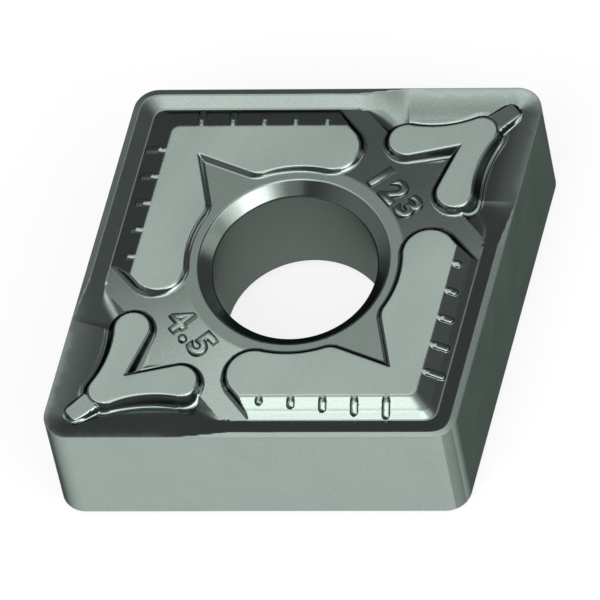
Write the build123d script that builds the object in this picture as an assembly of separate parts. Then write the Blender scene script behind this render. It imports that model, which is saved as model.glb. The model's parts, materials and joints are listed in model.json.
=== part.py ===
from build123d import *
from math import atan2, cos, degrees, hypot, radians, sin, sqrt, tan
import os

# Carbide turning insert: an 80 degree rhombus with a round bore, pressed and sintered in one
# piece. Both faces carry the same chip breaker, so one half is modelled and mirrored.
# Sizes are in millimetres and degrees. X runs through the two 80 degree noses and Z along
# the bore. The finished part stands on its lower pads at Z = 0.

# Blank
inscribed_circle = 12.70
nose_angle = 80.0
corner_radius = 0.80
thickness = 4.76

# Bore
bore_diameter = 5.16
countersink_diameter = 6.00
bore_rim_depth = 0.49

# Cutting edge, land and chip groove along the long edges, measured inwards from the edge
edge_drop = 0.14
edge_hone = 0.02
land_width = 0.21
groove_fall_width = 0.45
groove_flat = 0.05
groove_depth = 0.14
land_corner_radius = 0.62
groove_corner_radius = 0.38

# Slope from the groove up to the long pads, with a narrow step in it
rim_width = 1.42
rim_step_height = 0.11
rim_step_rise = 0.01
rim_step_width = 0.10
rim_step_inset = 0.38
pad_corner_radius = 0.30

# Where the groove opens into the nose, measured along the edge from the middle of the side
trough_start = 1.69
trough_entry = 0.51
trough_angle = 17.0
nose_rake = 10.5

# Ribs across the slope of the long pads, the longest nearest the blunt corner
rib_count = 5
rib_pitch = 0.99
rib_start = 0.73
rib_width = 0.22
rib_height = 0.06
rib_root = 0.12
rib_inset = 0.02
rib_short_reach = 0.24
rib_long_reach = 0.73

# Long pads and the star-shaped recess round the bore
star_depth = 0.135
star_radius = 3.40
ring_diameter = 6.90
star_tip = 5.05
star_tip_angle = 56.0
star_blend_radius = 0.60
pad_lobe_radius = 0.84
pad_lobe_angle = 36.65
pad_draft = 30.0
pad_foot_depth = 0.60

# Bridges between the pads, which fall outwards and step down into the troughs
bridge_fall = 3.6
bridge_edge_setback = 0.22
bridge_step_angle = 14.0

# Arrow pads near the noses, measured back from the sharp corner of the rhombus
arrow_notch_setback = 3.40
arrow_end_setback = 2.58
arrow_end_radius = 0.50
arrow_lobe_setback = 4.57
arrow_lobe_offset = 1.25
arrow_lobe_radius = 0.57
arrow_side_radius = 3.50

# Small wedge that runs from each arrow pad towards the nose
wedge_length = 0.80
wedge_root_width = 0.56
wedge_end_width = 0.40
wedge_root_drop = 0.015
wedge_end_drop = 0.08

# Levels above the middle plane
half_angle = radians(nose_angle / 2)
edge_distance = inscribed_circle / 2
pad_level = thickness / 2
edge_level = pad_level - edge_drop
groove_level = edge_level - groove_depth
step_level = groove_level + rim_step_height
star_level = pad_level - star_depth
clear_height = pad_level + 1.0
clear_reach = 3 * edge_distance

# Distances of the edge features from the bore axis
land_distance = edge_distance - land_width
groove_outer = land_distance - groove_fall_width
groove_inner = groove_outer - groove_flat
pad_distance = edge_distance - rim_width
hone_distance = edge_distance - edge_hone
step_distance = pad_distance + rim_step_inset

# Centres of the arrow pad's round ends
sharp_nose = edge_distance / sin(half_angle)
arrow_end = (sharp_nose - arrow_end_setback, 0.0)
arrow_lobe = (sharp_nose - arrow_lobe_setback, arrow_lobe_offset)
lobe_along = arrow_lobe[0] * cos(half_angle) - arrow_lobe[1] * sin(half_angle)
lobe_across = arrow_lobe[0] * sin(half_angle) + arrow_lobe[1] * cos(half_angle)


def beside_edge(along, across):
    """Plan point at a distance along the edge and a distance from the bore axis."""
    x = across * sin(half_angle) + along * cos(half_angle)
    y = across * cos(half_angle) - along * sin(half_angle)
    return (x, y)


def section_plane(along):
    """Plane square to the edge: local x points outwards and local y up."""
    x, y = beside_edge(along, 0)
    outwards = (sin(half_angle), cos(half_angle), 0)
    along_edge = (cos(half_angle), -sin(half_angle), 0)
    return Plane(origin=(x, y, 0), x_dir=outwards, z_dir=along_edge)


def outline(distance, radius, level):
    """Rhombus face with its sides at a distance from the bore axis and rounded corners."""
    nose = distance / sin(half_angle)
    blunt = distance / cos(half_angle)
    corners = [(nose, 0), (0, blunt), (-nose, 0), (0, -blunt)]
    face = make_face(Polyline(*corners, close=True))
    return Pos(0, 0, level) * fillet(face.vertices(), radius)


def arc_between(centre, radius, start, end, clockwise):
    """Arc about a centre from the direction of one point to the direction of another."""
    first = degrees(atan2(start[1] - centre[1], start[0] - centre[0]))
    last = degrees(atan2(end[1] - centre[1], end[0] - centre[0]))
    size = (first - last) % 360 if clockwise else (last - first) % 360
    return CenterArc(centre, radius, first, -size if clockwise else size)


def toward(start, end, distance):
    """Point at a distance from one point on the way to another."""
    share = distance / hypot(end[0] - start[0], end[1] - start[1])
    return (start[0] + share * (end[0] - start[0]), start[1] + share * (end[1] - start[1]))


def all_four(shape):
    """The shape with its mirror images in the other three quarters."""
    pair = [shape, mirror(shape, Plane.YZ)]
    return pair + [mirror(one, Plane.XZ) for one in pair]


def both_ends(shape):
    """The shape with its mirror image at the other nose."""
    return [shape, mirror(shape, Plane.YZ)]


def above(plan):
    """Everything over a plan outline, from the middle plane up."""
    return extrude(plan, amount=clear_height)


def drafted(face):
    """A pad from its top face down into the body, wider towards its foot."""
    return extrude(face, amount=-pad_foot_depth, taper=-pad_draft)


def over_slope(level, fall, start):
    """Space over a plane that falls along X, from its level at the start."""
    corners = [
        (start - clear_reach, level + clear_reach * fall),
        (start + clear_reach, level - clear_reach * fall),
        (start + clear_reach, 2 * clear_reach),
        (start - clear_reach, 2 * clear_reach),
    ]
    face = Plane.XZ * make_face(Polyline(*corners, close=True))
    return extrude(face, amount=clear_reach, both=True)


def long_pad_face():
    """Top of the pad on the +Y side, open past the edge where the rim slope cuts it."""
    tip = (0.0, star_tip)
    lean = radians(star_tip_angle / 2)
    down = (sin(lean), -cos(lean))
    off = (cos(lean), sin(lean))
    blend_reach = star_radius + star_blend_radius
    base = (tip[0] + star_blend_radius * off[0], tip[1] + star_blend_radius * off[1])
    half_b = base[0] * down[0] + base[1] * down[1]
    run = -half_b - sqrt(half_b**2 - base[0] ** 2 - base[1] ** 2 + blend_reach**2)
    blend = (base[0] + run * down[0], base[1] + run * down[1])
    spike_end = (tip[0] + run * down[0], tip[1] + run * down[1])
    star_start = toward((0.0, 0.0), blend, star_radius)

    lobe_reach = star_radius + pad_lobe_radius
    lobe_turn = radians(pad_lobe_angle)
    lobe = (lobe_reach * cos(lobe_turn), lobe_reach * sin(lobe_turn))
    star_end = toward((0.0, 0.0), lobe, star_radius)
    lobe_end = (lobe[0] + pad_lobe_radius, lobe[1])
    beyond = 2 * edge_distance
    side = [
        Line(tip, spike_end),
        arc_between(blend, star_blend_radius, spike_end, star_start, False),
        arc_between((0.0, 0.0), star_radius, star_start, star_end, True),
        arc_between(lobe, pad_lobe_radius, star_end, lobe_end, False),
        Line(lobe_end, (lobe_end[0], beyond)),
    ]
    top = Line((lobe_end[0], beyond), (-lobe_end[0], beyond))
    other = [mirror(edge, Plane.YZ) for edge in side]
    return Pos(0, 0, pad_level) * make_face(side + [top] + other)


def arrow_pad_face():
    """Top of the arrow pad at the +X nose."""
    notch = (sharp_nose - arrow_notch_setback, 0.0)
    end = arrow_end
    lobe = arrow_lobe
    gap = hypot(lobe[0] - notch[0], lobe[1] - notch[1])
    tangent = sqrt(gap**2 - arrow_lobe_radius**2)
    heading = atan2(lobe[1] - notch[1], lobe[0] - notch[0]) + atan2(arrow_lobe_radius, tangent)
    lobe_start = (notch[0] + tangent * cos(heading), notch[1] + tangent * sin(heading))

    span = hypot(end[0] - lobe[0], end[1] - lobe[1])
    from_lobe = arrow_side_radius + arrow_lobe_radius
    from_end = arrow_side_radius + arrow_end_radius
    share = (from_lobe**2 - from_end**2 + span**2) / (2 * span)
    rise = sqrt(from_lobe**2 - share**2)
    ahead = ((end[0] - lobe[0]) / span, (end[1] - lobe[1]) / span)
    side = (
        lobe[0] + share * ahead[0] - rise * ahead[1],
        lobe[1] + share * ahead[1] + rise * ahead[0],
    )
    lobe_end = toward(lobe, side, arrow_lobe_radius)
    end_start = toward(end, side, arrow_end_radius)
    end_tip = (end[0] + arrow_end_radius, 0.0)
    upper = [
        Line(notch, lobe_start),
        arc_between(lobe, arrow_lobe_radius, lobe_start, lobe_end, True),
        arc_between(side, arrow_side_radius, lobe_end, end_start, False),
        arc_between(end, arrow_end_radius, end_start, end_tip, True),
    ]
    lower = [mirror(edge, Plane.XZ) for edge in upper]
    return Pos(0, 0, pad_level) * make_face(upper + lower)


def straight_stretch():
    """Plan of everything but the noses, where the groove runs straight along the edges."""
    end = trough_start + trough_entry
    far = beside_edge(end, clear_reach)
    corners = [(end / cos(half_angle), 0), far, (-far[0], far[1]), (-end / cos(half_angle), 0)]
    corners += [(-far[0], -far[1]), (far[0], -far[1])]
    return make_face(Polyline(*corners, close=True))


def nose_plan():
    """Plan of one nose floor, from its crease to the corner, clear of the arrow's notch."""
    far = beside_edge(lobe_along, clear_reach)
    upper = [arrow_end, arrow_lobe, far, (2 * clear_reach, far[1])]
    lower = [(x, -y) for x, y in reversed(upper[1:])]
    return make_face(Polyline(*upper, *lower, close=True))


def beyond_bridge():
    """Plan of everything past the bridge, from its outer edge through the arrow pad."""
    upper = [arrow_end, arrow_lobe, (arrow_lobe[0], clear_reach), (2 * clear_reach, clear_reach)]
    lower = [(x, -y) for x, y in reversed(upper[1:])]
    return make_face(Polyline(*upper, *lower, close=True))


def blank():
    """Rhombus up to the cutting edge, with its rim groove and the raised middle."""
    body = extrude(outline(edge_distance, corner_radius, 0), amount=edge_level)
    land = outline(land_distance, land_corner_radius, edge_level)
    valley = outline(groove_outer, groove_corner_radius, groove_level)
    groove = loft([land, valley], ruled=True)
    body -= groove & above(straight_stretch())
    middle = loft(
        [
            outline(groove_inner, groove_corner_radius, groove_level),
            outline(step_distance + rim_step_width, pad_corner_radius, step_level),
            outline(step_distance, pad_corner_radius, step_level + rim_step_rise),
            outline(pad_distance, pad_corner_radius, pad_level),
        ],
        ruled=True,
    )
    return body + middle


def nose_floor():
    """Space over the rake faces, which fall inwards from the edge all round one nose."""
    fall = tan(radians(nose_rake))
    radius = corner_radius - edge_hone
    sharp = 0.1 * radius
    lift = 2 * edge_drop / fall
    inset = hone_distance - lobe_across
    rims = [(-lift, radius + lift), (0, radius), (radius - sharp, sharp), (inset, sharp)]
    funnel = loft(
        [outline(hone_distance - step, corner, edge_level - step * fall) for step, corner in rims],
        ruled=True,
    )
    return funnel & above(nose_plan())


def trough():
    """Space where the groove opens into one nose, on the +Y side."""
    stages = [
        (trough_start, land_distance, groove_depth / groove_fall_width),
        (trough_start + trough_entry, hone_distance, tan(radians(trough_angle))),
        (lobe_along, hone_distance, tan(radians(nose_rake))),
    ]
    sections = []
    for along, start, fall in stages:
        foot = edge_level - (start - lobe_across) * fall
        corners = [(start, edge_level), (lobe_across, foot)]
        corners += [(lobe_across, clear_height), (start, clear_height)]
        sections.append(section_plane(along) * make_face(Polyline(*corners, close=True)))
    fan = loft(sections, ruled=True)
    edge = arrow_lobe[0] - bridge_edge_setback
    middle = hypot(edge, arrow_lobe_offset + 2 * arrow_lobe_radius)
    step = over_slope(bridge_level(middle), tan(radians(bridge_step_angle)), edge)
    return (fan & step) - drafted(long_pad_face())


def bridge_level(distance):
    """Level of a bridge at a distance from the bore axis."""
    return star_level - (distance - ring_diameter / 2) * tan(radians(bridge_fall))


def star_pocket():
    """Space between the pads: a level star round the bore and bridges that fall outwards."""
    start = (ring_diameter / 2, star_level)
    end = (clear_reach, bridge_level(clear_reach))
    profile = [(0, star_level), start, end, (clear_reach, clear_height), (0, clear_height)]
    falling = revolve(Plane.XZ * make_face(Polyline(*profile, close=True)), Axis.Z, 360)
    spikes = Box(star_radius, 2 * clear_reach, 2 * clear_height)
    level = Pos(0, 0, star_level) * above(outline(groove_outer, groove_corner_radius, 0))
    space = (falling - spikes) + (level & spikes)
    space &= above(outline(groove_outer, groove_corner_radius, 0))
    space -= [above(plan) for plan in both_ends(beyond_bridge())]
    pad = drafted(long_pad_face())
    return space - [pad, mirror(pad, Plane.XZ)]


def wedge():
    """Small wedge from the arrow pad towards the nose, its top falling to the end."""
    root = arrow_end[0] + arrow_end_radius
    taper = (wedge_root_width - wedge_end_width) / 2 / wedge_length
    half_start = wedge_root_width / 2 + taper * arrow_end_radius
    half_end = wedge_end_width / 2
    upper = [(arrow_end[0], half_start), (root + wedge_length, half_end)]
    lower = [(x, -y) for x, y in reversed(upper)]
    body = drafted(Pos(0, 0, pad_level) * make_face(Polyline(*upper, *lower, close=True)))
    fall = (wedge_end_drop - wedge_root_drop) / wedge_length
    return body - over_slope(pad_level - wedge_root_drop, fall, root)


def rib(along, reach):
    """Round-ended rib from the edge of a long pad down over the slope, its foot inside it."""
    fall = (pad_level - groove_level) / (groove_inner - pad_distance)
    plane = section_plane(along)
    start = plane.from_local_coords(Vector(pad_distance - rib_inset, pad_level, 0))
    foot = pad_level - reach * fall + rib_height
    end = plane.from_local_coords(Vector(pad_distance + reach, foot, 0))
    lean = Plane(origin=start, x_dir=end - start, z_dir=plane.z_dir.cross(end - start))
    length = (end - start).length
    bar = Pos(length / 2, 0, 0) * SlotOverall(length, rib_width)
    return extrude(lean * bar, amount=-rib_root)


def ribs():
    """The row of ribs on one edge, each longer than the one before."""
    growth = (rib_long_reach - rib_short_reach) / max(1, rib_count - 1)
    places = range(rib_count)
    return [rib(rib_start - i * rib_pitch, rib_short_reach + i * growth) for i in places]


def bore():
    """Bore with its countersink, from the middle plane up."""
    radius = bore_diameter / 2
    rim = pad_level - bore_rim_depth
    outer = countersink_diameter / 2
    profile = [(0, 0), (radius, 0), (radius, rim), (outer, star_level)]
    profile += [(outer, clear_height), (0, clear_height)]
    return revolve(Plane.XZ * make_face(Polyline(*profile, close=True)), Axis.Z, 360)


def upper_half():
    """The insert above its middle plane, with everything cut and raised."""
    half = blank()
    half -= all_four(trough())
    half -= both_ends(nose_floor())
    half -= star_pocket()
    half += both_ends(drafted(arrow_pad_face()) + wedge())
    for one in ribs():
        half += all_four(one)
    return half - bore()


def insert_body():
    """Both halves in one body that stands on its lower pads."""
    half = upper_half()
    whole = half + mirror(half, Plane.XY)
    return Pos(0, 0, pad_level) * whole


body = insert_body()
os.makedirs("parts", exist_ok=True)
export_step(body, "parts/insert_body.step")
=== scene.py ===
import json
from math import atan2, ceil, cos, hypot, pi, radians, sin, sqrt, tan

import bpy
import numpy as np
from mathutils import Matrix, Vector
from mathutils.geometry import delaunay_2d_cdt
from mathutils.kdtree import KDTree


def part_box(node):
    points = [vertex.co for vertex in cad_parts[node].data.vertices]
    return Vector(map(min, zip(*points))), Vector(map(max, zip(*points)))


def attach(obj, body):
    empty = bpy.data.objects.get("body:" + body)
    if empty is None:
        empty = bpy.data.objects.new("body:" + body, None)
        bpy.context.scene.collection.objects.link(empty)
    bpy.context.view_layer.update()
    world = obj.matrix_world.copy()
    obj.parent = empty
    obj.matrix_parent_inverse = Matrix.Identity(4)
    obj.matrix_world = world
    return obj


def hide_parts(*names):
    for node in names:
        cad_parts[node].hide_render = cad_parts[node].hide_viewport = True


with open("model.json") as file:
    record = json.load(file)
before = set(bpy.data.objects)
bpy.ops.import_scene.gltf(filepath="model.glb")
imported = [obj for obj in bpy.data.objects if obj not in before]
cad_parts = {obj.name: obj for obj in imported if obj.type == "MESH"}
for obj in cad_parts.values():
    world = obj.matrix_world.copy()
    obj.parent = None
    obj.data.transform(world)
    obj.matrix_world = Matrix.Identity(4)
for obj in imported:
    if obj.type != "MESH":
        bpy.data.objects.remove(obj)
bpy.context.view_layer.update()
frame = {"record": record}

# The insert is sized in millimetres and degrees, as in the CAD part, and the finished
# mesh is turned into metres. Plan sizes are from the bore axis and levels from the
# middle plane, so one quarter of one face makes the whole insert.
millimetre = 0.001
lower_corner, upper_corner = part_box("insert_body")
pad_level = (upper_corner.z - lower_corner.z) / 2 / millimetre
middle_height = (upper_corner.z + lower_corner.z) / 2 / millimetre

# Blank
nose_angle = 80.0
corner_radius = 0.80
half_angle = radians(nose_angle / 2)
blunt_reach = upper_corner.y / millimetre
edge_distance = corner_radius + (blunt_reach - corner_radius) * cos(half_angle)

# Bore
bore_radius = frame["record"]["mounts"][0]["dims"]["r_mm"]
countersink_radius = 3.00
bore_rim_depth = 0.49
bore_rim_round = 0.05
bore_rim_level = pad_level - bore_rim_depth
face_bore_radius = bore_radius + bore_rim_round

# Edge, land, chip groove and stepped slope, measured inwards from the cutting edge
edge_drop = 0.14
edge_level = pad_level - edge_drop
edge_hone = 0.02
land_width = 0.21
land_fall = 0.014
groove_fall_width = 0.45
groove_flat = 0.05
groove_depth = 0.14
groove_level = edge_level - groove_depth
rim_width = 1.42
rim_step_height = 0.11
rim_step_rise = 0.032
rim_step_width = 0.10
rim_step_inset = 0.38

# Depths in from the edge and the blunt corner's radius at each
blunt_depths = [0.0, 0.21, 0.71, 1.42]
blunt_radii = [0.80, 0.62, 0.38, 0.30]

# Trough along the edge, and the nose floor it opens into
trough_start = 1.69
nose_rake = 6.0
nose_bow = 0.074
crease_fall = 0.20
crease_width = 0.26
rim_end_slope = 3
rim_joint_share = 0.2

# Ribs
rib_count = 5
rib_pitch = 0.99
rib_start = 0.73
rib_width = 0.28
rib_height = 0.09
rib_short_reach = 0.32
rib_long_reach = 0.73
rib_inset = 0.08
rib_ground = 0.002
rib_side_slope = 4

# Star recess and long pads
star_depth = 0.135
star_level = pad_level - star_depth
star_radius = 3.40
ring_radius = 3.45
star_tip = 5.05
star_tip_angle = 56.0
star_blend_radius = 0.60
pad_lobe_radius = 0.84
pad_lobe_angle = 36.65
pad_draft = 30.0

# Bridges
bridge_fall = 3.6
bridge_edge_setback = 0.22
bridge_cove_width = 0.55
bridge_corner = 0.20
bridge_rounding = 0.04
bridge_side_slope = 4
bridge_side_inset = 0.03

# Arrow pads, measured back from the sharp corner of the rhombus
arrow_notch_setback = 3.40
arrow_end_setback = 2.58
arrow_end_radius = 0.50
arrow_lobe_setback = 4.57
arrow_lobe_offset = 1.25
arrow_lobe_radius = 0.57
arrow_side_radius = 3.50
sharp_nose = edge_distance / sin(half_angle)
arrow_notch = (sharp_nose - arrow_notch_setback, 0.0)
arrow_end = (sharp_nose - arrow_end_setback, 0.0)
arrow_lobe = (sharp_nose - arrow_lobe_setback, arrow_lobe_offset)

# Wedge between each arrow pad and the nose
wedge_length = 0.80
wedge_root_width = 0.56
wedge_end_width = 0.40
wedge_root_drop = 0.05
wedge_end_drop = 0.085
wedge_corner = 0.10
wedge_rounding = 0.03
wedge_root = arrow_end[0] + arrow_end_radius
wedge_taper = (wedge_root_width - wedge_end_width) / 2 / wedge_length

# Roundings of the pressed shape
rim_rounding = 0.025
pad_rounding = 0.05
foot_fillet = 0.13
foot_lip_distance = 0.10
foot_lip_width = 0.07
foot_lip_height = 0.008
small_rounding = 0.02
countersink_rounding = 0.03

# How close together the points of the mesh are
edge_spacing = 0.12
wall_spacing = 0.07
axis_spacing = 0.04
fill_spacing = 0.30
wall_offsets = [-0.08, -0.045, -0.025, 0.0, 0.025, 0.05, 0.07, 0.09, 0.11, 0.13, 0.15]
wall_offsets += [0.17, 0.19, 0.21, 0.23, 0.25, 0.27, 0.29, 0.32, 0.36, 0.42]
rim_depths = [0.05, 0.12, 0.18, 0.20, 0.22, 0.25, 0.35, 0.50, 0.62, 0.65, 0.68, 0.71, 0.74, 0.80]
rim_depths += [0.88, 0.92, 0.94, 0.97, 1.01, 1.04, 1.07, 1.15, 1.25, 1.36, 1.40, 1.42, 1.45, 1.50]
ring_radii = [2.66, 2.75, 2.85, 2.94, 2.97, 3.0, 3.03, 3.06, 3.2, 3.36, 3.40, 3.45, 3.50, 3.56, 3.8]
rib_offsets = [-0.08, -0.06, -0.04, -0.02, 0.0, 0.02, 0.05]
wedge_offsets = [-0.06, -0.03, 0.0, 0.03, 0.08, 0.14, 0.20, 0.26, 0.32]
bridge_offsets = [-0.04, -0.02, 0.0, 0.02, 0.04, 0.08, 0.12]
trough_edge_depths = [0.05, 0.10, 0.15]
trough_spacing = 0.055
bridge_spacing = 0.06
rib_spacing = 0.05
border_clearance = 0.012
fill_clearance = 0.05
cell_size = 0.01
nose_points = 17
blunt_points = 13
bore_points = 61
round_points = 5

# Finishes
pressed_colour = (0.255, 0.302, 0.278, 1)
pad_colour = (0.49, 0.58, 0.535, 1)
flank_colour = (0.40, 0.465, 0.43, 1)
# The bore's darker colour is painted shade for the inside of the hole; the coating there is the same.
bore_shade_colour = (0.14, 0.168, 0.15, 1)
pressed_roughness = 0.15
pad_roughness = 0.34
flank_roughness = 0.25
bore_roughness = 0.42
edge_tint = (0.08, 0.08, 0.08, 1)
bore_tint = (0.45, 0.45, 0.45, 1)
grain_per_mm = 16
blotch_per_mm = 0.7
cloud_per_mm = 0.35
streak_per_mm = 4
streak_length = 16
streak_angle = 28
grain_shade = 0.05
blotch_shade = 0.02
streak_shade = 0.025
cloud_shade = 0.10
blotch_roughness = 0.008
streak_roughness = 0.015
grain_depth = 0.003
grain_strength = 0.2

# Raised marks on the bridges: plain numerals
mark_size = 1.18
mark_relief = 0.045
mark_stroke = 0.075
mark_offset = 3.52
mark_reach = 0.84
mark_middle_share = 0.35
mark_letter_gap = 1.25

# Camera, fitted to the outline of the photograph
view_azimuth = -25.38
view_elevation = 57.74
view_roll = 12.62
view_distance = 0.4065
lens_length = 782.7
frame_pixels = 600
centre_pixel = (302.17, 299.28)

# Studio: each light is a direction, the angles of its core and reach, and a strength
sky_strength = 0.15
lights = [
    ((-0.11, 0.16, 0.98), 8, 36, 0.81),
    ((0.15, -0.63, 0.76), 8, 36, 2.42),
    ((-0.24, -0.19, 0.95), 10, 16, 2.40),
    ((0.77, -0.40, 0.50), 2, 18, 0.98),
    ((-0.01, -0.79, 0.62), 2, 18, 2.59),
    ((-0.88, 0.42, 0.19), 12, 55, 0.26),
    ((0.01, 0.38, 0.92), 2, 12, 0.75),
    ((-0.16, -0.09, 0.98), 10, 16, 0.82),
    ((-0.42, -0.59, 0.69), 10, 16, 0.40),
    ((0.24, 0.03, 0.97), 24, 36, 0.09),
    ((0.11, 0.55, 0.83), 10, 16, 0.12),
    ((-0.21, 0.23, 0.95), 2, 12, 0.58),
    ((0.17, 0.38, 0.91), 4, 10.5, 0.70),
    ((0.18, -0.87, 0.46), 6, 17, 1.60),
]

# Lamp over the left shoulder that lights the floor and throws the insert's soft shadow
key_direction = (-0.60, -0.30, 0.74)
key_angle = 35
key_strength = 1.4

# Sheet of white paper
floor_radius = 0.25
floor_glow = 0.8
paper_colour = (0.94, 0.94, 0.94, 1)
paper_roughness = 0.9


def camera():
    """Long lens at the photograph's angle, rolled about its own axis."""
    azimuth = radians(view_azimuth)
    elevation = radians(view_elevation)
    roll = radians(view_roll)
    back = Vector((sin(azimuth) * cos(elevation), -cos(azimuth) * cos(elevation), sin(elevation)))
    level_right = Vector((cos(azimuth), sin(azimuth), 0))
    level_up = back.cross(level_right)
    right = cos(roll) * level_right - sin(roll) * level_up
    up = sin(roll) * level_right + cos(roll) * level_up
    centre = (lower_corner + upper_corner) / 2
    lens = bpy.data.cameras.new("camera")
    lens.lens = lens_length
    lens.sensor_width = 36
    lens.shift_x = (frame_pixels / 2 - centre_pixel[0]) / frame_pixels
    lens.shift_y = (centre_pixel[1] - frame_pixels / 2) / frame_pixels
    lens.clip_start = 0.01
    lens.clip_end = 20
    holder = bpy.data.objects.new("camera", lens)
    turn = Matrix((right, up, back)).transposed()
    holder.matrix_world = Matrix.Translation(centre + back * view_distance) @ turn.to_4x4()
    bpy.context.scene.collection.objects.link(holder)
    bpy.context.scene.camera = holder


def add_math(tree, operation, first, second):
    """Math node whose inputs are sockets or numbers; gives its output."""
    node = tree.nodes.new("ShaderNodeMath")
    node.operation = operation
    for socket, value in zip(node.inputs, (first, second)):
        if isinstance(value, (int, float)):
            socket.default_value = value
        else:
            tree.links.new(value, socket)
    return node.outputs["Value"]


def add_step(tree, value, start, end, strength=1.0):
    """Smooth step from nothing at the start to the strength at the end."""
    node = tree.nodes.new("ShaderNodeMapRange")
    node.interpolation_type = "SMOOTHSTEP"
    node.inputs["From Min"].default_value = start
    node.inputs["From Max"].default_value = end
    node.inputs["To Max"].default_value = strength
    tree.links.new(value, node.inputs["Value"])
    return node.outputs["Result"]


def round_light(tree, place, direction, core, reach, strength):
    """Round soft light in the sky: full within the core angle and gone at the reach angle."""
    dot = tree.nodes.new("ShaderNodeVectorMath")
    dot.operation = "DOT_PRODUCT"
    dot.inputs[1].default_value = Vector(direction).normalized()
    tree.links.new(place, dot.inputs[0])
    return add_step(tree, dot.outputs["Value"], cos(radians(reach)), cos(radians(core)), strength)


def studio():
    """Round soft lights in a dim world, overhead and in front of the insert."""
    world = bpy.data.worlds.new("studio")
    bpy.context.scene.world = world
    world.use_nodes = True
    tree = world.node_tree
    tree.nodes.clear()
    output = tree.nodes.new("ShaderNodeOutputWorld")
    shade = tree.nodes.new("ShaderNodeBackground")
    place = tree.nodes.new("ShaderNodeTexCoord").outputs["Generated"]
    total = sky_strength
    for light in lights:
        total = add_math(tree, "ADD", total, round_light(tree, place, *light))
    tree.links.new(total, shade.inputs["Strength"])
    tree.links.new(shade.outputs["Background"], output.inputs["Surface"])

    lamp = bpy.data.lights.new("key", "SUN")
    lamp.energy = key_strength
    lamp.angle = radians(key_angle)
    key = bpy.data.objects.new("key", lamp)
    key.rotation_euler = Vector(key_direction).to_track_quat("Z", "Y").to_euler()
    key.visible_glossy = False
    bpy.context.scene.collection.objects.link(key)


def floor():
    """White sheet under the insert, part of its own light so that shadows stay soft."""
    bpy.ops.object.select_all(action="DESELECT")
    bpy.ops.mesh.primitive_circle_add(vertices=96, radius=floor_radius, fill_type="NGON")
    sheet = bpy.context.object
    sheet.name = "floor"
    paper = bpy.data.materials.new("paper")
    paper.use_nodes = True
    tree = paper.node_tree
    shader = tree.nodes["Principled BSDF"]
    shader.inputs["Base Color"].default_value = paper_colour
    shader.inputs["Roughness"].default_value = paper_roughness
    ray = tree.nodes.new("ShaderNodeLightPath")
    white = tree.nodes.new("ShaderNodeEmission")
    mix = tree.nodes.new("ShaderNodeMixShader")
    seen = add_math(tree, "MAXIMUM", ray.outputs["Is Camera Ray"], ray.outputs["Is Glossy Ray"])
    seen = add_math(tree, "MAXIMUM", seen, ray.outputs["Is Transmission Ray"])
    tree.links.new(add_math(tree, "MULTIPLY", seen, floor_glow), mix.inputs["Fac"])
    tree.links.new(shader.outputs["BSDF"], mix.inputs[1])
    tree.links.new(white.outputs["Emission"], mix.inputs[2])
    tree.links.new(mix.outputs["Shader"], tree.nodes["Material Output"].inputs["Surface"])
    sheet.data.materials.append(paper)


def add_mix(tree, mask, first, second):
    """Mix of two colours or two numbers by a mask."""
    node = tree.nodes.new("ShaderNodeMix")
    coloured = isinstance(second, tuple)
    node.data_type = "RGBA" if coloured else "FLOAT"
    kind = "RGBA" if coloured else "VALUE"
    sockets = [i for i in node.inputs if i.type == kind and i.name in ("A", "B")]
    for socket, value in zip(sockets, (first, second)):
        if isinstance(value, (int, float, tuple)):
            socket.default_value = value
        else:
            tree.links.new(value, socket)
    tree.links.new(mask, node.inputs["Factor"])
    return [o for o in node.outputs if o.type == kind][0]


def add_mask(tree, name):
    """Value from nothing to one painted on the points of the mesh."""
    node = tree.nodes.new("ShaderNodeAttribute")
    node.attribute_name = name
    return node.outputs["Fac"]


def add_noise(tree, place, per_mm, detail, stretch=1, angle=0):
    """Noise over the object, per millimetre, stretched along a level direction."""
    turn = tree.nodes.new("ShaderNodeMapping")
    turn.vector_type = "TEXTURE"
    turn.inputs["Rotation"].default_value = (0, 0, radians(angle))
    turn.inputs["Scale"].default_value = (stretch, 1, 1)
    noise = tree.nodes.new("ShaderNodeTexNoise")
    noise.inputs["Scale"].default_value = per_mm / millimetre
    noise.inputs["Detail"].default_value = detail
    tree.links.new(place, turn.inputs["Vector"])
    tree.links.new(turn.outputs["Vector"], noise.inputs["Vector"])
    return noise.outputs["Fac"]


def add_spread(tree, value, middle, reach):
    """Noise value spread as far below as above a middle number."""
    node = tree.nodes.new("ShaderNodeMapRange")
    node.inputs["From Min"].default_value = 0.3
    node.inputs["From Max"].default_value = 0.7
    node.inputs["To Min"].default_value = middle - reach
    node.inputs["To Max"].default_value = middle + reach
    tree.links.new(value, node.inputs["Value"])
    return node.outputs["Result"]


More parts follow.
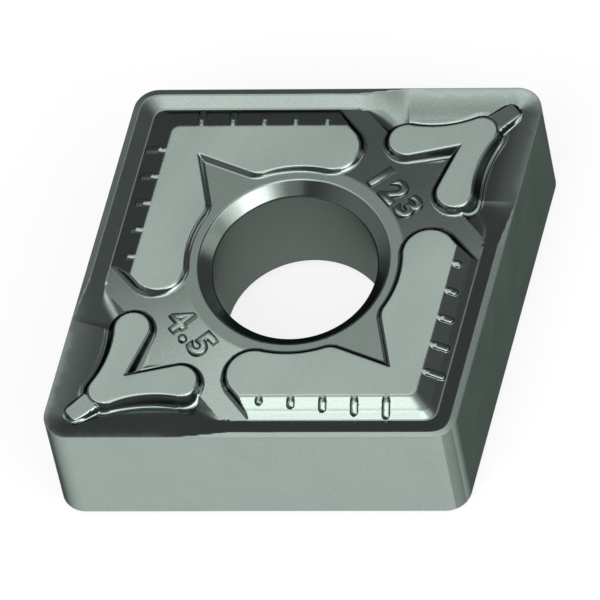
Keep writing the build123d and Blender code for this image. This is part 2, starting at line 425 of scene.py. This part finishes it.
def coated_metal():
    """Grey-green coating, ground on the pads and the flanks and as pressed elsewhere, painted darker
    in the bore as shade.
    """
    finish = bpy.data.materials.new("coated_carbide")
    finish.use_nodes = True
    tree = finish.node_tree
    shader = tree.nodes["Principled BSDF"]
    shader.inputs["Metallic"].default_value = 1
    place = tree.nodes.new("ShaderNodeTexCoord").outputs["Object"]
    on_pad, on_flank, on_bore = [add_mask(tree, name) for name in ("pad", "flank", "bore")]
    grain = add_noise(tree, place, grain_per_mm, 2)
    blotch = add_noise(tree, place, blotch_per_mm, 3)
    streak = add_noise(tree, place, streak_per_mm, 3, streak_length, streak_angle)
    cloud = add_noise(tree, place, cloud_per_mm, 1, 2, streak_angle)

    colour = add_mix(tree, on_pad, pressed_colour, pad_colour)
    colour = add_mix(tree, on_flank, colour, flank_colour)
    # Painted shade: the bore wall is made darker than the rest of the coating.
    colour = add_mix(tree, on_bore, colour, bore_shade_colour)
    blotched = add_spread(tree, blotch, 1, blotch_shade)
    grained = add_spread(tree, grain, 1, grain_shade)
    value = add_math(tree, "MULTIPLY", blotched, grained)
    streaked = add_spread(tree, streak, 0, streak_shade)
    clouded = add_spread(tree, cloud, 0, cloud_shade)
    ground = add_math(tree, "ADD", streaked, clouded)
    value = add_math(tree, "ADD", value, add_math(tree, "MULTIPLY", on_pad, ground))
    shaded = tree.nodes.new("ShaderNodeHueSaturation")
    tree.links.new(colour, shaded.inputs["Color"])
    tree.links.new(value, shaded.inputs["Value"])
    tree.links.new(shaded.outputs["Color"], shader.inputs["Base Color"])
    tint = add_mix(tree, on_bore, edge_tint, bore_tint)
    tree.links.new(tint, shader.inputs["Specular Tint"])

    rough = add_mix(tree, on_pad, pressed_roughness, pad_roughness)
    rough = add_mix(tree, on_flank, rough, flank_roughness)
    rough = add_mix(tree, on_bore, rough, bore_roughness)
    rough = add_math(tree, "ADD", rough, add_spread(tree, blotch, 0, blotch_roughness))
    brushed = add_spread(tree, streak, 0, streak_roughness)
    rough = add_math(tree, "ADD", rough, add_math(tree, "MULTIPLY", on_pad, brushed))
    tree.links.new(rough, shader.inputs["Roughness"])

    bump = tree.nodes.new("ShaderNodeBump")
    bump.inputs["Strength"].default_value = grain_strength
    bump.inputs["Distance"].default_value = grain_depth * millimetre
    tree.links.new(grain, bump.inputs["Height"])
    tree.links.new(bump.outputs["Normal"], shader.inputs["Normal"])
    return finish


def ramp(run, rounding):
    """Nothing before zero and the run itself after it, rounded at the turn."""
    turn = (run + rounding) ** 2 / (4 * rounding)
    return np.where(np.abs(run) < rounding, turn, np.maximum(run, 0))


def higher(first, second, blend):
    """The higher of two levels, with a fillet where they cross."""
    nearness = np.maximum(blend - np.abs(first - second), 0)
    return np.maximum(first, second) + nearness**2 / (4 * blend)


def lower(first, second, blend):
    """The lower of two levels, rounded where they cross."""
    return -higher(-first, -second, blend)


def toward(start, end, distance):
    """Point at a distance from one point on the way to another."""
    share = distance / hypot(end[0] - start[0], end[1] - start[1])
    return (start[0] + share * (end[0] - start[0]), start[1] + share * (end[1] - start[1]))


def line(start, end):
    """Straight piece of a pad's side."""
    return ("line", start, end)


def arc(centre, radius, start, end, turn):
    """Arc about a centre between two directions: turn is 1 to the left, -1 to the right."""
    first = atan2(start[1] - centre[1], start[0] - centre[0])
    last = atan2(end[1] - centre[1], end[0] - centre[0])
    return ("arc", centre, radius, first, turn * ((turn * (last - first)) % (2 * pi)))


def long_pad_side():
    """Side of the +Y pad from the star's tip to the rim, with the pad on its left."""
    tip = (0.0, star_tip)
    lean = radians(star_tip_angle / 2)
    down = (sin(lean), -cos(lean))
    reach = star_radius + star_blend_radius
    base = (star_blend_radius * cos(lean), star_tip + star_blend_radius * sin(lean))
    half_b = base[0] * down[0] + base[1] * down[1]
    run = -half_b - sqrt(half_b**2 - base[0] ** 2 - base[1] ** 2 + reach**2)
    blend = (base[0] + run * down[0], base[1] + run * down[1])
    spike_end = (run * down[0], star_tip + run * down[1])
    star_start = toward((0.0, 0.0), blend, star_radius)
    lobe_turn = radians(pad_lobe_angle)
    lobe_reach = star_radius + pad_lobe_radius
    lobe = (lobe_reach * cos(lobe_turn), lobe_reach * sin(lobe_turn))
    star_end = toward((0.0, 0.0), lobe, star_radius)
    lobe_end = (lobe[0] + pad_lobe_radius, lobe[1])
    return [
        line(tip, spike_end),
        arc(blend, star_blend_radius, spike_end, star_start, 1),
        arc((0.0, 0.0), star_radius, star_start, star_end, -1),
        arc(lobe, pad_lobe_radius, star_end, lobe_end, 1),
        line(lobe_end, (lobe_end[0], 2 * edge_distance)),
    ]


def arrow_pad_side():
    """Upper side of the arrow pad from its end to its notch, with the pad on its left."""
    gap = hypot(arrow_lobe[0] - arrow_notch[0], arrow_lobe[1] - arrow_notch[1])
    tangent = sqrt(gap**2 - arrow_lobe_radius**2)
    heading = atan2(arrow_lobe[1] - arrow_notch[1], arrow_lobe[0] - arrow_notch[0])
    heading += atan2(arrow_lobe_radius, tangent)
    lobe_start = (arrow_notch[0] + tangent * cos(heading), arrow_notch[1] + tangent * sin(heading))
    span = hypot(arrow_end[0] - arrow_lobe[0], arrow_end[1] - arrow_lobe[1])
    from_lobe = arrow_side_radius + arrow_lobe_radius
    from_end = arrow_side_radius + arrow_end_radius
    share = (from_lobe**2 - from_end**2 + span**2) / (2 * span)
    rise = sqrt(from_lobe**2 - share**2)
    ahead = ((arrow_end[0] - arrow_lobe[0]) / span, (arrow_end[1] - arrow_lobe[1]) / span)
    side = (
        arrow_lobe[0] + share * ahead[0] - rise * ahead[1],
        arrow_lobe[1] + share * ahead[1] + rise * ahead[0],
    )
    lobe_end = toward(arrow_lobe, side, arrow_lobe_radius)
    end_start = toward(arrow_end, side, arrow_end_radius)
    end_tip = (arrow_end[0] + arrow_end_radius, 0.0)
    return [
        arc(arrow_end, arrow_end_radius, end_tip, end_start, 1),
        arc(side, arrow_side_radius, end_start, lobe_end, -1),
        arc(arrow_lobe, arrow_lobe_radius, lobe_end, lobe_start, 1),
        line(lobe_start, arrow_notch),
    ]


def beside(piece, offset, spacing):
    """Points along one line or arc of a pad's side, moved off it away from the pad."""
    if piece[0] == "line":
        start, end = np.array(piece[1]), np.array(piece[2])
        length = np.hypot(*(end - start))
        share = np.linspace(0, 1, ceil(length / spacing) + 1)[:, None]
        ahead = (end - start) / length
        return start + share * (end - start) + offset * np.array((ahead[1], -ahead[0]))
    centre, radius, first, turn = piece[1:]
    angle = first + np.linspace(0, turn, ceil(abs(turn) * radius / spacing) + 1)
    reach = radius + offset * np.sign(turn)
    return np.array(centre) + reach * np.stack([np.cos(angle), np.sin(angle)], 1)


def distance_to(piece, x, y):
    """Distance from one line or arc."""
    if piece[0] == "line":
        start, end = piece[1], piece[2]
        ahead = (end[0] - start[0], end[1] - start[1])
        length = hypot(*ahead)
        share = ((x - start[0]) * ahead[0] + (y - start[1]) * ahead[1]) / length**2
        share = np.clip(share, 0, 1)
        return np.hypot(x - start[0] - share * ahead[0], y - start[1] - share * ahead[1])
    centre, radius, first, turn = piece[1:]
    angle = np.arctan2(y - centre[1], x - centre[0])
    passed = (np.sign(turn) * (angle - first)) % (2 * pi)
    ends = [(centre[0] + radius * cos(a), centre[1] + radius * sin(a)) for a in (first, first + turn)]
    far = np.minimum(*[np.hypot(x - end[0], y - end[1]) for end in ends])
    near = np.abs(np.hypot(x - centre[0], y - centre[1]) - radius)
    return np.where(passed <= abs(turn), near, far)


def outside(side, closing, x, y):
    """Distance outside a pad, negative within it; closing are the corners that close its plan."""
    distance = np.minimum.reduce([distance_to(piece, x, y) for piece in side])
    corners = np.concatenate([beside(piece, 0, 0.02) for piece in side] + [np.array(closing)])
    within = np.zeros(np.shape(x), bool)
    for (x1, y1), (x2, y2) in zip(corners, np.roll(corners, -1, 0)):
        if y1 != y2:
            crosses = (y1 > y) != (y2 > y)
            within ^= crosses & (x < x1 + (y - y1) * (x2 - x1) / (y2 - y1))
    return np.where(within, -distance, distance)


long_side = long_pad_side()
long_closing = [(0.0, 2 * edge_distance)]
arrow_side = arrow_pad_side()
arrow_closing = [(arrow_end[0], -0.01)]
nose_centre = (edge_distance - corner_radius) / sin(half_angle)
lobe_along = arrow_lobe[0] * cos(half_angle) - arrow_lobe[1] * sin(half_angle)
lobe_across = arrow_lobe[0] * sin(half_angle) + arrow_lobe[1] * cos(half_angle)
groove_inner = land_width + groove_fall_width + groove_flat
cone = (star_level - bore_rim_level) / (countersink_radius - bore_radius)
rib_growth = (rib_long_reach - rib_short_reach) / (rib_count - 1)
rib_reaches = [rib_short_reach + i * rib_growth for i in range(rib_count)]
rim_corners = [
    (0.0, edge_level - land_fall),
    (land_width, edge_level),
    (land_width + groove_fall_width, groove_level),
    (groove_inner, groove_level),
    (rim_width - rim_step_inset - rim_step_width, groove_level + rim_step_height),
    (rim_width - rim_step_inset, groove_level + rim_step_height + rim_step_rise),
    (rim_width, pad_level),
]


def side_place(x, y):
    """Distances along the edge of the +X +Y side and in from that edge, round both corners."""
    along = x * cos(half_angle) - y * sin(half_angle)
    depth = edge_distance - x * sin(half_angle) - y * cos(half_angle)
    blend = np.interp(depth, blunt_depths, blunt_radii) * 4 * (1 - cos(half_angle))
    blunt = depth - np.maximum(blend - 2 * x * sin(half_angle), 0) ** 2 / (4 * blend)
    nose = corner_radius - np.hypot(x - nose_centre, y)
    return along, np.where(along > nose_centre * cos(half_angle), nose, blunt)


def rim_level(depth):
    """Land, groove and stepped slope up to the long pad, and on upwards past its edge."""
    level = rim_corners[0][1]
    slope = 0.0
    for (start, low), (end, high) in zip(rim_corners, rim_corners[1:]):
        steeper = (high - low) / (end - start) - slope
        level = level + steeper * (ramp(depth - start, rim_rounding) if start else depth)
        slope += steeper
    return level


def trough_level(along, depth):
    """Floor of the trough and of the nose, which falls inwards from the edge, ever steeper."""
    opening = np.clip((along - trough_start) / (lobe_along - trough_start), 0, 1)
    land = land_width + (edge_hone - land_width) * opening
    run = ramp(depth - land, rim_rounding + (edge_hone / 2 - rim_rounding) * opening)
    fall = groove_depth / groove_fall_width
    fall = fall + (tan(radians(nose_rake)) - fall) * opening
    tilt = land_fall * (1 - opening) * (1 - depth / land + run / land)
    nearing = np.clip((lobe_along - along) / crease_width, 0, 1)
    dip = crease_fall * run * crease_width * (1 - (1 - nearing) ** 2) * np.minimum(opening, 0.5)
    return edge_level - tilt - run * (fall + nose_bow * opening * run) - dip


def bridge_level(distance):
    """Star recess and the bridge beyond it, which falls away from the bore."""
    return star_level - ramp(distance - ring_radius, bridge_rounding) * tan(radians(bridge_fall))


def pad_wall(distance):
    """Pad top and its drafted wall, by the distance outside the pad's outline."""
    return pad_level - ramp(distance, pad_rounding) / tan(radians(pad_draft))


def wedge_top(x, y):
    """Wedge from the arrow pad's end towards the nose, narrower and lower on the way."""
    beside_it = (y - wedge_root_width / 2 + wedge_taper * (x - wedge_root)) / hypot(1, wedge_taper)
    past_it = np.maximum(x - wedge_root - wedge_length, arrow_end[0] - x)
    drop = wedge_root_drop + (wedge_end_drop - wedge_root_drop) / wedge_length * (x - wedge_root)
    drop = np.maximum(drop, wedge_root_drop) + np.maximum(wedge_root - x, 0)
    walls = pad_wall(higher(beside_it, past_it, wedge_corner))
    return lower(walls, pad_level - drop, wedge_rounding)


def rib_tops(along, depth):
    """The row of ribs on the slope of the long pad, each longer than the one before."""
    fall = (pad_level - groove_level) / (rim_width - rim_corners[3][0])
    out = rim_width - depth
    top = np.zeros(np.shape(along))
    for i, reach in enumerate(rib_reaches):
        level = np.minimum(pad_level - rib_ground, pad_level - out * fall + rib_height)
        first, last = rib_width / 2 - rib_inset, reach - rib_width / 2
        ahead = out - np.clip(out, first, last)
        beside_it = np.hypot(along - rib_start + i * rib_pitch, ahead) - rib_width / 2
        beyond = np.clip(beside_it / (rib_width / 2) + 1, 0, 1)
        round_off = rib_width / 2 * (1 - np.sqrt(1 - beyond**4))
        top = np.maximum(top, level - round_off - rib_side_slope * np.maximum(beside_it, 0))
    return top


def floor_level(x, y, along, depth):
    """Bridges, the star round the bore, and the troughs that open into the noses."""
    ring = np.hypot(x, y)
    across = edge_distance - depth
    bridge = np.where(x < star_radius / 2, star_level, bridge_level(ring))
    floor = trough_level(along, depth)
    off_bridge = higher(x - arrow_lobe[0] + bridge_edge_setback, groove_inner - depth, bridge_corner)
    cove = (1 - np.clip(off_bridge / bridge_cove_width, 0, 1)) ** 2
    cut = floor + np.maximum(bridge - floor, 0) * cove
    off_side = groove_inner - bridge_side_inset - depth
    bridge = bridge + bridge_side_slope * ramp(off_side, small_rounding)
    return np.where((across > lobe_across) & (along > trough_start), cut, bridge)


def face_level(x, y):
    """Level of the upper face over the middle plane anywhere on the insert."""
    x, y = np.abs(x), np.abs(y)
    along, depth = side_place(x, y)
    ring = np.hypot(x, y)
    long_gap = outside(long_side, long_closing, x, y)
    arrow_gap = outside(arrow_side, arrow_closing, x, y)
    floor = floor_level(x, y, along, depth)
    wall_width = (pad_level - floor) * tan(radians(pad_draft))
    off_foot = (arrow_gap - wall_width - foot_lip_distance) / foot_lip_width
    on_trough = np.clip((x - arrow_lobe[0]) / arrow_lobe_radius, 0, 1)
    floor = floor + foot_lip_height * on_trough * np.maximum(1 - off_foot**2, 0) ** 2
    inside = higher(floor, pad_wall(long_gap), foot_fillet)
    inside = lower(inside, bore_rim_level + (ring - bore_radius) * cone, countersink_rounding)
    entering = np.minimum(depth - edge_hone, (along - trough_start) / 2)
    past_groove = depth - land_width - groove_fall_width
    blend = np.clip(rim_joint_share * np.maximum(entering, past_groove), 1e-6, small_rounding)
    rim = rim_level(depth) + rim_end_slope * np.maximum(along - trough_start, 0)
    level = lower(rim, inside, blend)
    level = higher(level, pad_wall(arrow_gap), foot_fillet)
    level = higher(level, wedge_top(x, y), small_rounding)
    on_slope = (depth > groove_fall_width) & (depth < rim_width + rib_inset + small_rounding)
    ribbed = np.minimum(higher(level, rib_tops(along, depth), small_rounding), pad_level)
    return np.where(on_slope, ribbed, level)


def outline_row(depth, spacing):
    """A quarter of the outline at a depth in from the edge, from the +X nose to the +Y corner."""
    across = edge_distance - depth
    nose = max(corner_radius - depth, 0.0)
    blunt = float(np.interp(depth, blunt_depths, blunt_radii))
    if depth <= edge_hone:
        blunt = nose
    turn = pi / 2 - half_angle
    nose_turn = np.linspace(0, turn, nose_points)
    blunt_turn = np.linspace(turn, pi / 2, blunt_points)
    first = (across - nose) / sin(half_angle) + nose * np.cos(nose_turn), nose * np.sin(nose_turn)
    blunt_centre = (across - blunt) / cos(half_angle)
    last = blunt * np.cos(blunt_turn), blunt_centre + blunt * np.sin(blunt_turn)
    first, last = np.stack(first, 1), np.stack(last, 1)
    count = ceil(2 * edge_distance / sin(2 * half_angle) / spacing)
    share = np.linspace(0, 1, count + 1)[1:-1, None]
    return np.concatenate([first, first[-1] + share * (last[0] - first[-1]), last])


def plan_points(along, across):
    """Plan places of points given along the +X +Y edge and across from the middle."""
    x = across * sin(half_angle) + along * cos(half_angle)
    y = across * cos(half_angle) - along * sin(half_angle)
    return np.stack([x, y], 1)


def quarter_ring(radius):
    """Points on a quarter circle about the bore's axis."""
    turn = np.linspace(0, pi / 2, bore_points)
    return radius * np.stack([np.cos(turn), np.sin(turn)], 1)


def wall_points():
    """Rows along the walls of the pads."""
    loops = []
    for offset in wall_offsets:
        for piece in long_side:
            loops.append((beside(piece, offset, wall_spacing), long_side, long_closing, offset))
        for piece in arrow_side:
            loops.append((beside(piece, offset, wall_spacing), arrow_side, arrow_closing, offset))
    groups = []
    for points, side, closing, offset in loops:
        gap = outside(side, closing, points[:, 0], points[:, 1])
        groups.append(points[np.abs(gap - offset) < 0.003])
    return groups


def rim_points():
    """Rows along the edge, as far as the troughs."""
    groups = []
    for depth in rim_depths:
        row = outline_row(depth, edge_spacing)
        for _ in range(4):
            along, found = side_place(row[:, 0], row[:, 1])
            row[:, 1] += np.where(along < trough_start, found - depth, 0) / cos(half_angle)
        groups.append(row[along < trough_start + 0.02])
    return groups


def rib_points():
    """Loops round each rib."""
    groups = []
    turn = np.linspace(0, 2 * pi, 25)[:-1]
    for i, reach in enumerate(rib_reaches):
        first, last = rib_width / 2 - rib_inset, reach - rib_width / 2
        outs = np.linspace(first, last, ceil((last - first) / rib_spacing) + 1)
        for offset in rib_offsets:
            radius = rib_width / 2 + offset
            round_end = np.where(np.sin(turn) > 0, last, first)
            ends = np.stack([radius * np.cos(turn), round_end + radius * np.sin(turn)], 1)
            sides = [np.stack([np.full(len(outs), s * radius), outs], 1) for s in (-1, 1)]
            ring = np.concatenate([ends] + sides)
            along = rib_start - i * rib_pitch + ring[:, 0]
            groups.append(plan_points(along, edge_distance - rim_width + ring[:, 1]))
    return groups


def wedge_points():
    """Rows along the wedge's side and across its end."""
    groups = []
    run = np.linspace(wedge_root - 0.3, wedge_root + wedge_length, 20)
    half = wedge_root_width / 2 - wedge_taper * (run - wedge_root)
    rise = np.linspace(0, wedge_end_width / 2, 7)
    for offset in wedge_offsets:
        groups.append(np.stack([run, half + offset], 1))
        groups.append(np.stack([np.full(7, wedge_root + wedge_length + offset), rise], 1))
    return groups


def trough_points():
    """Grid over the trough, and rows where the bridge ends at it."""
    groups = []
    alongs = list(np.arange(trough_start, lobe_along + 0.4, bridge_spacing))
    depths = np.concatenate([trough_edge_depths, np.arange(0.20, 2.2, trough_spacing)])
    for along in alongs + [lobe_along - 0.01, lobe_along + 0.01]:
        groups.append(plan_points(along, edge_distance - depths))
    step_start = arrow_lobe[0] - bridge_edge_setback
    rise = np.arange(arrow_lobe[1] + arrow_lobe_radius, 3.3, bridge_spacing)
    for offset in bridge_offsets:
        groups.append(np.stack([np.full(len(rise), step_start + offset), rise], 1))
    return groups


def face_border():
    """Closed border of the quarter face, from the bore along +X and round to the bore."""
    edge_row = outline_row(edge_hone, edge_spacing)
    tip = nose_centre + corner_radius - edge_hone
    x_axis = np.arange(face_bore_radius, tip, axis_spacing)[1:-1]
    y_axis = np.arange(face_bore_radius, edge_row[-1, 1], axis_spacing)[1:-1][::-1]
    x_axis = np.stack([x_axis, 0 * x_axis], 1)
    y_axis = np.stack([0 * y_axis, y_axis], 1)
    border = np.concatenate([x_axis, edge_row, y_axis, quarter_ring(face_bore_radius)[::-1]])
    border[np.abs(border) < 1e-9] = 0.0
    return border


def quarter_points():
    """Points of the quarter face, close together where the surface turns, and its border."""
    groups = wall_points() + rim_points() + rib_points()
    groups += [quarter_ring(radius) for radius in ring_radii]
    groups += wedge_points() + trough_points()
    border = face_border()
    fill = [[i + 0.5 * (j % 2), j * sqrt(0.75)] for i in range(60) for j in range(60)]
    points = within_border(np.concatenate(groups), border_clearance)
    fill = within_border(np.array(fill) * fill_spacing, fill_clearance)
    along, depth = side_place(fill[:, 0], fill[:, 1])
    fill = fill[(depth > rim_width + 0.1) | (along > lobe_along)]
    tree = KDTree(len(points) + len(border))
    for i, (x, y) in enumerate(np.concatenate([points, border])):
        tree.insert((x, y, 0), i)
    tree.balance()
    lonely = [p for p in fill if tree.find((p[0], p[1], 0))[2] > 0.45 * fill_spacing]
    points = np.concatenate([points, np.array(lonely)])
    cells = np.round(points / cell_size).astype(int)
    _, keep = np.unique(cells, axis=0, return_index=True)
    return border, points[np.sort(keep)]


def within_border(points, clear):
    """Those of the points that are inside the quarter face, clear of its border."""
    x, y = points[:, 0], points[:, 1]
    _, depth = side_place(x, y)
    beyond = y - (edge_distance - corner_radius) / cos(half_angle)
    corner = np.where(x < beyond * tan(half_angle), corner_radius - np.hypot(x, beyond), depth)
    depth = np.minimum(depth, corner)
    ring = np.hypot(x, y)
    inside = (x > clear) & (y > clear) & (depth > edge_hone + clear)
    return points[inside & (ring > face_bore_radius + clear)]


def face_normals(x, y):
    """Normals of the upper face, from its slope on both sides of each point."""
    reach = 0.002
    slope_x = (face_level(x + reach, y) - face_level(x - reach, y)) / (2 * reach)
    slope_y = (face_level(x, y + reach) - face_level(x, y - reach)) / (2 * reach)
    normals = np.stack([-slope_x, -slope_y, np.ones(len(x))], 1)
    return normals / np.linalg.norm(normals, axis=1)[:, None]


def quarter_face():
    """Triangles of the quarter face: points, normals and corner numbers."""
    border, points = quarter_points()
    every = [Vector(p) for p in np.concatenate([border, points])]
    around = [(i, (i + 1) % len(border)) for i in range(len(border))]
    found, _, triangles, _, _, _ = delaunay_2d_cdt(every, around, [], 1, 1e-5, False)
    plan = np.array([(p.x, p.y) for p in found])
    plan[np.abs(plan) < 1e-6] = 0.0
    triangles = np.array(triangles)
    middle = plan[triangles].mean(1)
    sides = plan[triangles[:, 1:]] - plan[triangles[:, :1]]
    area = sides[:, 0, 0] * sides[:, 1, 1] - sides[:, 0, 1] * sides[:, 1, 0]
    chord_reach = face_bore_radius * cos(pi / 4 / (bore_points - 1))
    beyond_bore = np.hypot(middle[:, 0], middle[:, 1]) > chord_reach
    triangles = triangles[beyond_bore & (np.abs(area) > 1e-6)]
    level = face_level(plan[:, 0], plan[:, 1])
    normals = face_normals(plan[:, 0], plan[:, 1])
    return np.column_stack([plan, level]), normals, triangles


def strip(rows):
    """Quarter band between rows of points: each row is (points, normals)."""
    points = np.concatenate([row[0] for row in rows])
    normals = np.concatenate([row[1] for row in rows])
    count = len(rows[0][0])
    corners = []
    for i in range(len(rows) - 1):
        for j in range(count - 1):
            a, b = i * count + j, (i + 1) * count + j
            corners += [(a, b, b + 1), (a, b + 1, a + 1)]
    return points, normals, np.array(corners)


def flank():
    """Quarter of the flank below the upper edge, with the honed edge over it."""
    turn = pi / 2 - half_angle
    edge = outline_row(0.0, edge_spacing)
    angle = np.full(len(edge), turn)
    angle[:nose_points] = np.linspace(0, turn, nose_points)
    angle[-blunt_points:] = np.linspace(turn, pi / 2, blunt_points)
    outwards = np.stack([np.cos(angle), np.sin(angle), 0 * angle], 1)
    rows = []
    rim = outline_row(edge_hone, edge_spacing).astype(np.float32).astype(float)
    top = face_level(rim[:, 0], rim[:, 1])
    for hone in np.linspace(0, pi / 2, round_points):
        inset = edge_hone * (1 - sin(hone))
        place = outline_row(inset, edge_spacing) if hone else rim
        level = top - edge_hone * (1 - cos(hone))
        normals = outwards * sin(hone) + np.array((0, 0, cos(hone)))
        rows.append((np.column_stack([place, level]), normals))
    for share in (0.67, 0.33, 0.0):
        rows.append((np.column_stack([edge, (top - edge_hone) * share]), outwards))
    return strip(rows)


def bore_wall():
    """Quarter of the bore below its countersink, with a small round where they meet."""
    start = (bore_radius + bore_rim_round, bore_rim_level + bore_rim_round * cone)
    corner = (bore_radius, bore_rim_level)
    end = (bore_radius, bore_rim_level - bore_rim_round)
    ring = quarter_ring(1.0)
    inwards = np.column_stack([-ring, np.zeros(bore_points)])
    rows = []
    for t in np.linspace(0, 1, round_points):
        radius = (1 - t) ** 2 * start[0] + 2 * t * (1 - t) * corner[0] + t**2 * end[0]
        level = (1 - t) ** 2 * start[1] + 2 * t * (1 - t) * corner[1] + t**2 * end[1]
        run = (1 - t) * (corner[0] - start[0]) + t * (end[0] - corner[0])
        drop = (1 - t) * (corner[1] - start[1]) + t * (end[1] - corner[1])
        size = hypot(run, drop)
        normals = inwards * (-drop / size) + np.array((0, 0, -run / size))
        rows.append((np.column_stack([ring * radius, np.full(bore_points, level)]), normals))
    for level in np.linspace(end[1], 0, 4)[1:]:
        rows.append((np.column_stack([ring * bore_radius, np.full(bore_points, level)]), inwards))
    return strip(rows)


def whole_insert():
    """The quarter pieces mirrored to all eight places and joined into one closed mesh."""
    points, normals, triangles = [], [], []
    total = 0
    for place, normal, corners in (quarter_face(), flank(), bore_wall()):
        for sign in [(sx, sy, sz) for sx in (1, -1) for sy in (1, -1) for sz in (1, -1)]:
            points.append(place * sign)
            normals.append(normal * sign)
            triangles.append(corners + total)
            total += len(place)
    points, normals = np.concatenate(points), np.concatenate(normals)
    triangles = np.concatenate(triangles)
    keys = np.round(points.astype(np.float32) * 20000).astype(np.int64)
    _, first, index = np.unique(keys, axis=0, return_index=True, return_inverse=True)
    triangles = index.reshape(-1)[triangles]
    distinct = (triangles[:, 0] != triangles[:, 1]) & (triangles[:, 1] != triangles[:, 2])
    distinct &= triangles[:, 0] != triangles[:, 2]
    triangles = triangles[distinct]
    points, normals = points[first], normals[first]
    place = points[triangles]
    faced = np.cross(place[:, 1] - place[:, 0], place[:, 2] - place[:, 0])
    wrong = (faced * normals[triangles].sum(1)).sum(1) < 0
    triangles[wrong] = triangles[wrong][:, ::-1]
    return points, normals, triangles


def insert_mesh():
    """The insert as one object, with the masks that its finish reads."""
    points, normals, triangles = whole_insert()
    mesh = bpy.data.meshes.new("coated_insert")
    places = points * millimetre + np.array((0, 0, middle_height * millimetre))
    mesh.from_pydata(places.tolist(), [], triangles.tolist())
    mesh.update()
    mesh.shade_smooth()
    mesh.normals_split_custom_set_from_vertices(normals.tolist())
    height = np.abs(points[:, 2])
    level = np.abs(normals[:, 2])
    _, depth = side_place(np.abs(points[:, 0]), np.abs(points[:, 1]))
    on_pad = height > pad_level - 0.003
    ring = np.hypot(points[:, 0], points[:, 1])
    on_flank = (level < 0.5) & (depth < edge_hone / 2) & (ring > ring_radius)
    on_bore = (ring < bore_radius + 0.001) & (level < 0.5)
    for name, mask in (("pad", on_pad), ("flank", on_flank), ("bore", on_bore)):
        layer = mesh.attributes.new(name, "FLOAT", "POINT")
        layer.data.foreach_set("value", mask.astype(np.float32))
    piece = bpy.data.objects.new("coated_insert", mesh)
    bpy.context.scene.collection.objects.link(piece)
    return piece


def numerals(name, text, offset, turned):
    """Raised round-edged numerals on one bridge, their heads towards +X."""
    fall = radians(bridge_fall) * (1 if offset > 0 else -1)
    bpy.ops.object.select_all(action="DESELECT")
    bpy.ops.object.text_add(location=(0, 0, 0))
    mark = bpy.context.object
    mark.name = name
    mark.data.body = text
    mark.data.size = mark_size
    mark.data.align_x = "CENTER"
    mark.data.space_character = mark_letter_gap
    mark.data.extrude = mark_relief / 2
    mark.data.bevel_depth = mark_stroke
    mark.data.bevel_resolution = 3
    mark.data.resolution_u = 6
    bpy.ops.object.convert(target="MESH")
    bpy.ops.object.mode_set(mode="EDIT")
    bpy.ops.mesh.select_all(action="SELECT")
    bpy.ops.mesh.remove_doubles(threshold=0.002)
    bpy.ops.mesh.normals_make_consistent(inside=False)
    bpy.ops.object.mode_set(mode="OBJECT")
    middle = abs(offset) + mark_size * mark_middle_share
    level = bridge_level(np.array(middle)).item() + mark_relief
    turn = Matrix.Rotation(fall, 4, "Y") @ Matrix.Rotation(-pi / 2, 4, "Z")
    place = Matrix.Translation((offset, 0, level)) @ turn
    if turned:
        place = Matrix.Rotation(pi, 4, "X") @ place
    lift = Matrix.Translation((0, 0, middle_height))
    mark.matrix_world = Matrix.Scale(millimetre, 4) @ lift @ place
    bpy.ops.object.transform_apply(location=True, rotation=True, scale=True)
    bpy.ops.object.shade_smooth_by_angle(angle=radians(50))
    return mark


bpy.context.scene.view_settings.view_transform = "Standard"
camera()
studio()
floor()
insert = insert_mesh()
coating = coated_metal()
insert.data.materials.append(coating)
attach(insert, "root")
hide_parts("insert_body")
left_offset = -mark_offset - mark_reach
for face, turned in (("upper", False), ("lower", True)):
    for side, text, offset in (("right", "123", mark_offset), ("left", "4.5", left_offset)):
        mark = numerals(f"numerals_{face}_{side}", text, offset, turned)
        mark.data.materials.append(coating)
        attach(mark, "root")
